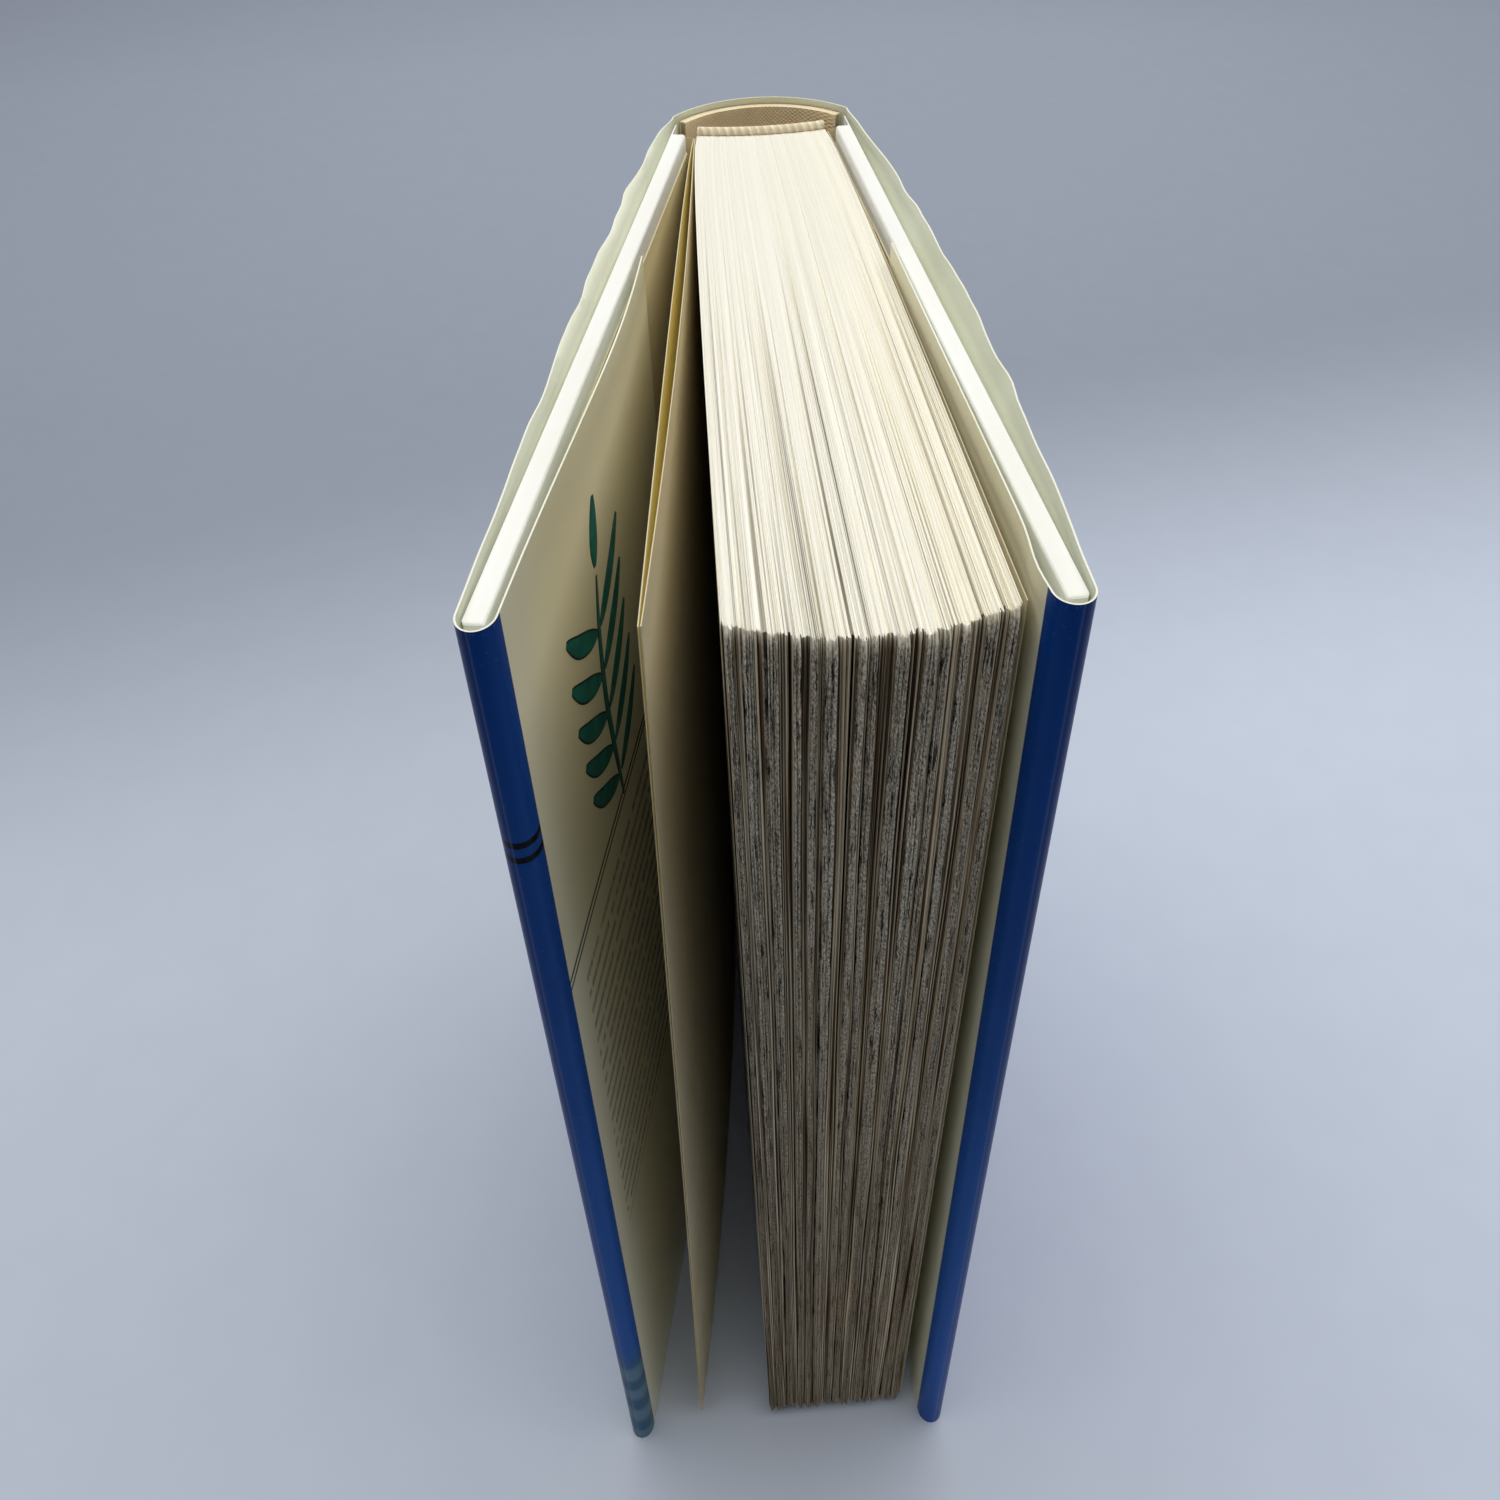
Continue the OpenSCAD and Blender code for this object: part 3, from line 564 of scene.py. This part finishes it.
def build_pages():
    """The pages as one closed mesh: tail, fore-edge and head from rows of points, two sides, back."""
    columns = leaf_columns(np.random.default_rng(PAGE_SEED))
    t, gathering, gap, head_gap, lift, rough = columns
    gap[[0, -1]] = 0
    head_gap[[0, -1]] = 0
    lift[[0, -1]] = 0
    arch = 1 - (2 * t - 1) ** 2
    crack = np.clip(gap / 0.55, 0, 1)
    arc_r = ((BACK_THICKNESS / 2) ** 2 + BACK_HOLLOW**2) / (2 * BACK_HOLLOW)
    arc = math.asin(BACK_THICKNESS / 2 / arc_r) * (2 * t - 1)
    back_y = arc_r - BACK_HOLLOW - BACK_SET - arc_r * np.cos(arc)

    def standing(z):
        """How far each column stands out of the fore-edge at a height, in millimetres."""
        level = z / 18.0
        ragged = DECKLE_DEPTH * (0.55 + 0.4 * smooth_noise(gathering * 7.3, level, 5))
        lump = np.maximum(smooth_noise(gathering * 3.1 + t * 40, z / 30.0, 6) - 0.45, 0) * 1.3
        tuft = 0.22 * smooth_noise(t * 170, z / 1.9, 7) + 0.16 * smooth_noise(t * 90, z / 5.0, 8)
        sway = 0.10 * smooth_noise(t * 210, z / 24.0, 9)
        # the ends of the leaves are worn round at the head
        blunt = 0.3 + 0.5 * rough + 0.3 * smooth_noise(t * 190, 1.5, 20)
        worn = blunt * max(0, 1 - (HEAD_Z - z) / 0.9)
        return rough * (ragged + lump + tuft) + sway + lift * 2.2 - gap * (1 - 0.25 * rough) - worn

    def drift(z):
        """Small sideways wander of the leaves, in millimetres."""
        return 0.22 * smooth_noise(t * 26, z / 40.0, 12) * np.minimum(1, 12 * t * (1 - t))

    rows, place, fore, dark = [], [], [], []

    def add(x, y, z, along, is_fore, shadow):
        """A row of the grid, with its values for the material."""
        rows.append(np.stack([x, y, z + 0 * x], -1))
        place.append(np.stack([t * FORE_HEAD, along + 0 * t, 0 * t], -1))
        fore.append(is_fore + 0 * t)
        dark.append(shadow + 0 * t)

    def flat_face(z, k, upward, depths, along):
        """Head or tail: a row of points at each share of the leaves' depth."""
        out = standing(z)
        bow = mix(BOW_TAIL, BOW_HEAD, k) * arch
        for f, a in zip(depths, along):
            x = (2 * t - 1) * side_half(f * PAGE_DEPTH, k) + drift(z) * f**3
            y = mix(back_y, -BACK_SET - PAGE_DEPTH - bow - out, f)
            opened = np.clip((f - 0.3 - 0.3 * smooth_noise(t * 60, 0.5, 14)) / 0.6, 0, 1) ** 1.3
            # the leaves lie even at the back and part towards the fore-edge
            even = 0.25 + 0.75 * f**1.5
            height = (lift * 1.1 + 0.06 * smooth_noise(t * 120, f * 8, 15)) * even - head_gap * opened
            wear = 0.14 * smooth_noise(t * 150, 3.5, 16) * f**14 * (1 + rough)
            # painted shade: how dark the material paints the gaps where leaves part at the head and tail
            shadow = np.clip(head_gap * opened * 0.55, 0, 0.7)
            add(x, y, z + upward * (height + wear), a, 0.0, shadow)

    depths = np.append(np.linspace(0, 0.988, HEAD_ROWS - 1), [0.997, 1.0])
    flat_face(TAIL_SQUARE, 0.0, -1, depths, -PAGE_DEPTH * (1 - depths))
    for z in HEIGHTS:
        k = (z - TAIL_SQUARE) / PAGE_HEIGHT
        x = (2 * t - 1) * fore_half(k) + drift(z)
        y = -BACK_SET - PAGE_DEPTH - mix(BOW_TAIL, BOW_HEAD, k) * arch - standing(z)
        # painted highlight: near the head the frayed ends take the bright head colour in place of the
        # fore-edge's brown
        end = HEAD_Z - z
        fray_highlight = np.clip(0.55 + 0.6 * smooth_noise(t * 190, 2.5, 17), 0, 1)
        fray_highlight = fray_highlight * np.exp(-((end / (0.7 + 0.9 * rough)) ** 2))
        # painted shade in the gaps between leaves on the fore-edge, deeper where they part further and
        # uneven up the edge
        wander = 0.8 + 0.35 * smooth_noise(t * 130, z / 35.0, 18)
        wander = wander + rough * 0.5 * smooth_noise(t * 170, z / 5.0, 19)
        add(x, y, z, z - TAIL_SQUARE, 1 - fray_highlight, np.clip(crack * wander, 0, 1))
    flat_face(HEAD_Z, 1.0, 1, depths[::-1], PAGE_HEIGHT + PAGE_DEPTH * (1 - depths[::-1]))

    # both rows of a corner lie at the same place and share their points
    rows[TAIL_CORNER + 1] = rows[TAIL_CORNER].copy()
    rows[HEAD_CORNER - 1] = rows[HEAD_CORNER].copy()
    count = len(rows)
    index = np.arange(count * len(t)).reshape(count, len(t))
    index[TAIL_CORNER + 1] = index[TAIL_CORNER]
    index[HEAD_CORNER - 1] = index[HEAD_CORNER]
    faces = [
        grid_faces(index[: TAIL_CORNER + 1], True),
        grid_faces(index[TAIL_CORNER + 1 : HEAD_CORNER], True),
        grid_faces(index[HEAD_CORNER:], True),
    ]
    more_faces, extra, extra_place = page_sides(index, depths, t)
    faces += more_faces
    points = np.concatenate([np.concatenate(rows), extra])
    bare = np.zeros(len(extra))
    attributes = {
        "place": np.concatenate([*place, extra_place]),
        "fore": np.concatenate([*fore, bare]),
        "rough": np.concatenate([np.tile(rough, count), bare]),
        # the gap values are painted shade for the material, dark where leaves part
        "gap": np.concatenate([*dark, bare]),
    }
    # points of a corner's second row are dropped
    used = np.unique(np.concatenate([f.ravel() for f in faces]))
    renumber = np.full(len(points), -1)
    renumber[used] = np.arange(len(used))
    polygons = [tuple(renumber[list(f)]) for part in faces for f in part]
    attributes = {k: v[used] for k, v in attributes.items()}
    piece = mesh_piece("pages", placed(points[used]), polygons, [PAGES], None, attributes, 60)
    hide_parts("text_block")
    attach(piece, "block")


build_pages()

# Loose leaves

LEAF_STEPS, LEAF_LEVELS = 44, 36


def leaf_sheet(name, side, off, lift_tail, lift_head, curve, fold, wave, materials):
    """A leaf beside the pages that lifts away from them towards its free edge."""
    levels = np.linspace(0, 1, LEAF_LEVELS)
    f = np.linspace(0, 1, LEAF_STEPS) ** 1.4
    s = mix(LEAF_ROOT, PAGE_DEPTH - LEAF_INSET, f)
    outer, inner, sheets = [], [], []
    for k in levels:
        lift = mix(lift_tail, lift_head, k)
        ripple = wave * smooth_noise(f * 3.0, k * 2.5 + 4.0, 31) * f
        path = off + lift * f**curve + ripple
        faces = []
        for thick in (LEAF_THICKNESS, 0.0):
            x, y = side_point(side, s, k, path + thick)
            z = np.full_like(x, TAIL_SQUARE + PAGE_HEIGHT * k)
            line = np.stack([x, y, z], -1)
            if fold is not None:
                shift = LEAF_THICKNESS / 2 if thick else -LEAF_THICKNESS / 2
                line = np.concatenate([[[fold[0], fold[1] - shift, z[0]]], line])
            faces.append(line)
        outer.append(faces[0])
        inner.append(faces[1])
        sheets.append(np.stack([-faces[0][:, 1], faces[0][:, 2], 0 * faces[0][:, 0]], -1))
    outer, inner = np.array(outer), np.array(inner)
    if side == FRONT:
        outer, inner = inner, outer
    return closed_sheet(name, placed(outer), placed(inner), materials, np.array(sheets))


# A flyleaf starts at the hinge, on a fold of this radius and angle
fold_r, fold_angle = 1.0, math.radians(42)
fold_x, fold_y = HINGE_X - fold_r * math.cos(fold_angle), -fold_r * math.sin(fold_angle)
flyleaf = leaf_sheet(
    "front_flyleaf_sheet", FRONT, 2 * SHEET_GAP + LEAF_THICKNESS,
    LIFT_TAIL, LIFT_HEAD, FLYLEAF_CURVE, (-fold_x, fold_y), LEAF_RIPPLE, [LEAF_GLOW_SIDE, LEAF, LEAF],
)
blank = leaf_sheet(
    "blank_leaf_sheet", FRONT, SHEET_GAP,
    LIFT_TAIL - TIP_GAP, LIFT_HEAD - TIP_GAP, BLANK_CURVE, None, LEAF_RIPPLE,
    [LEAF, LEAF_GLOW_SIDE, LEAF],
)
back_leaf = leaf_sheet(
    "back_flyleaf_sheet", BACK, SHEET_GAP,
    BACK_LEAF_LIFT, BACK_LEAF_LIFT, BACK_LEAF_CURVE, (fold_x, fold_y), 0.0, [LEAF, LEAF, LEAF],
)
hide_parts("front_flyleaf")
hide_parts("blank_leaf")
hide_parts("back_flyleaf")
for leaf, slot in ((flyleaf, "endpaper"), (blank, "pages")):
    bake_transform(leaf)
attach(back_leaf, "block")

# Jacket


def cover_point(side, u, w, z):
    """Point by a cover: u along it from the hinge line, w outwards from it, z up."""
    a = COVER_ANGLE[side]
    x = side * (HINGE_X + u * math.sin(a) + w * math.cos(a))
    y = -u * math.cos(a) + w * math.sin(a)
    return np.stack([x, y, z + 0 * x], -1)


def bulge_share(z):
    """Share of the jacket's bulge at a height, least at the middle."""
    return mix(BULGE_WAIST, 1, abs(2 * z / JACKET_HEIGHT - 1) ** 1.5)


def panel_off(side, u, z):
    """How far the jacket's panel stands off its cover."""
    arch = np.sin(math.pi * (np.minimum(u, COVER_END) / COVER_END) ** SKEW[side])
    arch = arch * (1 - np.exp(-((u / CREASE_LENGTH) ** 2)))
    edge = abs(2 * z / JACKET_HEIGHT - 1) ** 6
    wave = EDGE_WAVE * edge * np.sin(math.tau * u / WAVE_LENGTH + side * math.pi / 3)
    crimp = CRIMP * edge**4 * smooth_noise(u / CRIMP_LENGTH, side * 3.0, 41)
    # near the head the sheet lies closer to the board and leans out to its edge
    rise = min(max(z / JACKET_HEIGHT - LEAN_FROM, 0) / LEAN_RUN, 1)
    drawn, length = LEAN[side]
    below = 1 - math.exp(-(JACKET_HEIGHT - z) / length)
    lean = 1 - drawn * rise * rise * (3 - 2 * rise) * below
    return arch * (BULGE[side] * bulge_share(z) + wave + crimp) * lean


def flap_off(side, f, z):
    """How far a flap stands off the pastedown, a share f of its depth from the fold."""
    if side == FRONT:
        bow = np.sin(math.pi * f**1.8)
    else:
        bow = 0.6 * np.exp(-(((f - 0.05) / 0.06) ** 2)) - 0.7 * f**0.8
    return FLAP_LIFT + FLAP_BOW * bow * np.where(bow < 0, 1, bulge_share(z))


def flap_surface(side, depth, z, out):
    """Point over the printed face of a flap, depth millimetres from the fold."""
    flap_w = PASTEDOWN_W - JACKET_THICKNESS / 2
    f = depth / FLAP_DEPTH
    w = flap_w - flap_off(side, f, z) - JACKET_THICKNESS / 2 - out
    return cover_point(side, BOARD_END - depth, w, z)


SPINE_STEPS, PANEL_STEPS, FOLD_STEPS, FLAP_STEPS = 24, 72, 28, 44
SPINE_R = (HINGE_X**2 + SPINE_RISE**2) / (2 * SPINE_RISE)
SPINE_ARC = math.asin(HINGE_X / SPINE_R)
FOLD_LENGTH = 7.6


def jacket_line(side, z, face):
    """One face of the sheet at a height, from the middle of the spine to the flap's free edge."""
    a = np.linspace(0, SPINE_ARC, SPINE_STEPS + 1)
    r = SPINE_R + face
    spine = np.stack([side * r * np.sin(a), SPINE_RISE - SPINE_R + r * np.cos(a), z + 0 * a], -1)
    panel_u = np.linspace(0, 1, PANEL_STEPS + 1)[1:] ** 1.15 * BOARD_END
    panel = cover_point(side, panel_u, panel_off(side, panel_u, z) + face, z)
    flap_w = PASTEDOWN_W - JACKET_THICKNESS / 2
    middle_w = (flap_w - float(flap_off(side, np.array(0.0), z))) / 2
    turn = math.pi / 2 - math.pi * np.arange(1, FOLD_STEPS) / FOLD_STEPS
    fold = cover_point(
        side,
        BOARD_END + (FOLD_REACH + face) * np.cos(turn),
        middle_w + (-middle_w + face) * np.sin(turn),
        z,
    )
    f = np.linspace(0, 1, FLAP_STEPS + 1)
    flap = cover_point(side, BOARD_END - FLAP_DEPTH * f, flap_w - flap_off(side, f, z) - face, z)
    run = np.concatenate([
        -SPINE_R * (SPINE_ARC - a),
        panel_u,
        BOARD_END + FOLD_LENGTH * np.arange(1, FOLD_STEPS) / FOLD_STEPS,
        BOARD_END + FOLD_LENGTH + FLAP_DEPTH * f,
    ])
    sheet = np.stack([run, z + 0 * run, 0 * run], -1)
    return np.concatenate([spine, panel, fold, flap]), sheet


def smooth_line(marks, count):
    """Even points on a smooth line through a list of marks."""
    marks = np.asarray(marks, float)
    at = np.linspace(0, len(marks) - 1, count)
    i = np.minimum(at.astype(int), len(marks) - 2)
    f = (at - i)[:, None]
    ends = np.concatenate([[2 * marks[0] - marks[1]], marks, [2 * marks[-1] - marks[-2]]])
    a, b, c, d = ends[i], ends[i + 1], ends[i + 2], ends[i + 3]
    return b + 0.5 * f * (c - a + f * (2 * a - 5 * b + 4 * c - d + f * (3 * (b - c) + d - a)))


# The inks follow the sheet's own three materials
FILL_SLOT, OUTLINE_SLOT = 3, 4


def stroke(marks, width, count=36):
    """A brush stroke on the front flap, as (depth from the fold, height): an outline and a fill."""
    line = smooth_line(marks, count)
    along = np.gradient(line, axis=0)
    across = np.stack([along[:, 1], -along[:, 0]], -1) / np.linalg.norm(along, axis=1)[:, None]
    swelling = width * np.sin(math.pi * np.linspace(0.02, 0.98, count)) ** 0.7
    made = []
    # each film of ink: how much wider, its height over the sheet, its depth in it, its material
    for more, out, sunk, slot in ((0.32, 0.03, 0.08, OUTLINE_SLOT), (0.0, 0.06, 0.05, FILL_SLOT)):
        half = (swelling / 2 + more)[:, None]
        grid = np.stack([line + across * half, line, line - across * half], 1)
        depth, z = grid[..., 0], grid[..., 1]
        place = np.stack([BOARD_END + FOLD_LENGTH + depth, z, 0 * z], -1)
        top, low = (placed(flap_surface(FRONT, depth, z, o)) for o in (out, -sunk))
        made.append((top, low, place, (slot, slot, slot)))
    return made


def ornament():
    """A sprig of leaves in pairs, printed on the front flap."""
    stem = [(41, 170), (39, 182), (37.5, 194), (38, 206), (40, 216)]
    films = stroke(stem, 1.6)
    for low in range(175, 208, 8):
        root = np.interp(low, [z for _, z in stem], [depth for depth, _ in stem])
        for way in (-1, 1):
            leaf = [(1.0, 0.5), (5.5, 2.6), (11.0, 6.0), (16.0, 10.4)]
            films += stroke([(root + way * along, low + up) for along, up in leaf], 3.2, 24)
    return films + stroke([(40, 217.5), (40.8, 222), (42.5, 228)], 3.6, 24)


def jacket_half(name, side):
    """Half of the jacket, from the middle of the spine to the flap."""
    steps = np.linspace(-1, 1, 61)
    levels = (steps + 0.25 * np.sin(math.pi * steps) / math.pi + 1) / 2 * JACKET_HEIGHT
    # more rows where the sheet leans out to its head edge
    levels = np.sort(np.append(levels, JACKET_HEIGHT - np.array([0.6, 1.3, 2.1, 4.4])))
    outer, inner, sheets = [], [], []
    half = JACKET_THICKNESS / 2
    for z in levels:
        line, sheet = jacket_line(side, z, half)
        outer.append(line)
        sheets.append(sheet)
        inner.append(jacket_line(side, z, -half)[0])
    outer, inner = placed(np.array(outer)), placed(np.array(inner))
    sheets = np.array(sheets)
    if side == FRONT:
        outer, inner, sheets = outer[:, ::-1], inner[:, ::-1], sheets[:, ::-1]
    materials = [PRINT[side], JACKET_INSIDE, JACKET_CORE]
    films = []
    if side == FRONT:
        materials += [TEAL, DARK]
        films = ornament()
    piece = closed_sheet(name, outer, inner, materials, sheets, films)
    return piece


front_jacket = jacket_half("jacket_front_sheet", FRONT)
back_jacket = jacket_half("jacket_back_sheet", BACK)
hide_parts("jacket_front", "jacket_spine")
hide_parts("jacket_back")
for piece, side, cover in ((front_jacket, FRONT, "front_cover"), (back_jacket, BACK, "back_cover")):
    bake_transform(piece)

# Covers, spine and bands

# Metres: rounding of the covered edges, and width of the single sheet beside the spine
ROUNDING, STRIP_WIDTH = 0.0005, 0.00506


def rounded(node, width):
    """A covering whose turned-in edges are rounded as folded paper rounds them."""
    mesh = frame["nodes"][node].data.copy()
    shape = bmesh.new()
    shape.from_mesh(mesh)
    bmesh.ops.remove_doubles(shape, verts=shape.verts, dist=1e-7)
    bmesh.ops.dissolve_limit(
        shape, angle_limit=math.radians(2), verts=shape.verts, edges=shape.edges
    )
    low, high = min(v.co.z for v in shape.verts), max(v.co.z for v in shape.verts)
    far = min(v.co.y for v in shape.verts)
    # edges that reach the single sheet stay sharp, because it is thinner than the rounding
    strip = max(v.co.y for v in shape.verts) - STRIP_WIDTH

    def turned_in(edge):
        """Whether an edge is a fold of the covering at the head, the tail or the fore-edge."""
        a, b = (v.co for v in edge.verts)
        lying = abs(a.z - b.z) < 1e-6 and min(abs(a.z - low), abs(a.z - high)) < 1e-6
        standing = abs(a.z - b.z) > 0.2 and max(a.y, b.y) < far + 0.004
        folded = edge.is_convex and edge.calc_face_angle(0) > 0.8
        return folded and max(a.y, b.y) < strip and (lying or standing)

    edges = [e for e in shape.edges if turned_in(e)]
    bmesh.ops.bevel(shape, geom=edges, offset=width, segments=3, profile=0.5, affect="EDGES")
    shape.to_mesh(mesh)
    shape.free()
    mesh.materials.clear()
    mesh.materials.append(COVERING)
    mesh.shade_smooth()
    mesh.set_sharp_from_angle(angle=math.radians(20))
    piece = bpy.data.objects.new(node + "_rounded", mesh)
    piece.matrix_world = frame["nodes"][node].matrix_world
    bpy.context.scene.collection.objects.link(piece)
    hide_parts(node)
    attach(piece, node.split("_")[0] + "_cover")


def dress(node, material):
    """A solid of the model that stays as it is, with its own material."""
    mesh = frame["nodes"][node].data
    mesh.materials.clear()
    mesh.materials.append(material)


for side_name in ("front", "back"):
    rounded(side_name + "_cover_paper", ROUNDING)
    dress(side_name + "_pastedown", ENDPAPER)
    dress(side_name + "_board", CARD)
dress("spine_cloth", CLOTH)
dress("spine_inlay", CARD)
dress("spine_lining", LINING)
dress("head_band", BAND)
dress("tail_band", BAND)

# Stage, light and camera

# Metres
FLOOR_FRONT, FLOOR_HALF = -1.2, 2.6
SWEEP_START, SWEEP_RADIUS, WALL_HEIGHT = 1.1, 0.7, 2.2


def stage_floor():
    """Pale floor that sweeps up far behind the book, with painted light and shade: lighter to the right,
    darker behind the book and in front of it.
    """
    start, r = SWEEP_START, SWEEP_RADIUS
    profile = [(FLOOR_FRONT, 0.0), (0.4, 0.0), (start, 0.0)]
    profile += [(start + r * math.sin(a), r - r * math.cos(a)) for a in np.linspace(0.1, 1.57, 14)]
    profile.append((start + r, WALL_HEIGHT))
    points = np.array([(x, y, z) for y, z in profile for x in (-FLOOR_HALF, FLOOR_HALF)])
    index = np.arange(len(points)).reshape(-1, 2)
    s = Shader("floor", Specular_IOR_Level=0.1)
    x, y = s.split(s.own())[0:2]
    grain = s.noise(s.own(), 60.0, 4.0)
    # painted shade: darker behind the book, more to the left
    back = s.range(s.math("SUBTRACT", y, s.math("MULTIPLY", x, 0.2)), 0.08, 0.38, smooth=True)
    # painted light: lighter to the right
    near = s.mix(s.range(x, -0.2, 0.2), srgb(204, 213, 228), srgb(212, 222, 239))
    tone = s.mix(back, near, srgb(156, 164, 180))
    # painted light: lighter again far back
    tone = s.mix(s.range(y, 0.4, 0.9), tone, srgb(170, 178, 194))
    # painted shade: much darker in front of the book
    tone = s.mix(s.range(y, -0.18, -0.5, smooth=True), tone, srgb(96, 102, 112))
    tone = s.times(s.range(grain, 0.3, 0.7, 0.04, 0.0), tone, srgb(170, 175, 190))
    material = s.finish(tone, 0.9)
    floor = mesh_piece("floor", points, grid_faces(index, True), [material])


stage_floor()

world = bpy.data.worlds.new("studio")
world.use_nodes = True
sky = world.node_tree.nodes["Background"]
sky.inputs["Color"].default_value = (0.86, 0.93, 1.0, 1)
sky.inputs["Strength"].default_value = 0.02
bpy.context.scene.world = world


def area_light(name, place, aim, size, power, colour):
    """A round lamp that faces a point."""
    light = bpy.data.lights.new(name, "AREA")
    light.shape, light.size, light.energy, light.color = "DISK", size, power, colour
    made = bpy.data.objects.new(name, light)
    made.location = place
    made.rotation_euler = (Vector(aim) - Vector(place)).to_track_quat("-Z", "Y").to_euler()
    bpy.context.scene.collection.objects.link(made)


LAMP_X, LAMP_Y, LAMP_HEIGHT, LAMP_SIZE, LAMP_POWER = 0.1, 0.35, 1.2, 2.2, 22.8
area_light(
    "overhead", (LAMP_X, LAMP_Y, LAMP_HEIGHT), (LAMP_X, LAMP_Y, 0), LAMP_SIZE, LAMP_POWER,
    (1.0, 0.99, 0.97),
)

CAMERA_FROM_SPINE = Vector((-0.021368, -0.274707, 0.333821))
PITCH, YAW, ROLL = math.radians(43.9065), math.radians(3.1928), math.radians(-1.8818)
FOCAL_PX, FRAME_PX, SENSOR_WIDTH = 1360.66, 1500, 36
forward = Vector((math.sin(YAW) * math.cos(PITCH), math.cos(YAW) * math.cos(PITCH), -math.sin(PITCH)))
level = Vector((math.cos(YAW), -math.sin(YAW), 0))
upright = level.cross(forward)
right = math.cos(ROLL) * level + math.sin(ROLL) * upright
up = -math.sin(ROLL) * level + math.cos(ROLL) * upright
lens = bpy.data.cameras.new("camera")
lens.sensor_width = SENSOR_WIDTH
lens.lens = SENSOR_WIDTH * FOCAL_PX / FRAME_PX
camera = bpy.data.objects.new("camera", lens)
spot = SPINE_MIDDLE + CAMERA_FROM_SPINE
camera.matrix_world = Matrix((
    (right.x, up.x, -forward.x, spot.x),
    (right.y, up.y, -forward.y, spot.y),
    (right.z, up.z, -forward.z, spot.z),
    (0, 0, 0, 1),
))
bpy.context.scene.collection.objects.link(camera)
bpy.context.scene.camera = camera
bpy.context.scene.view_settings.view_transform = "Standard"
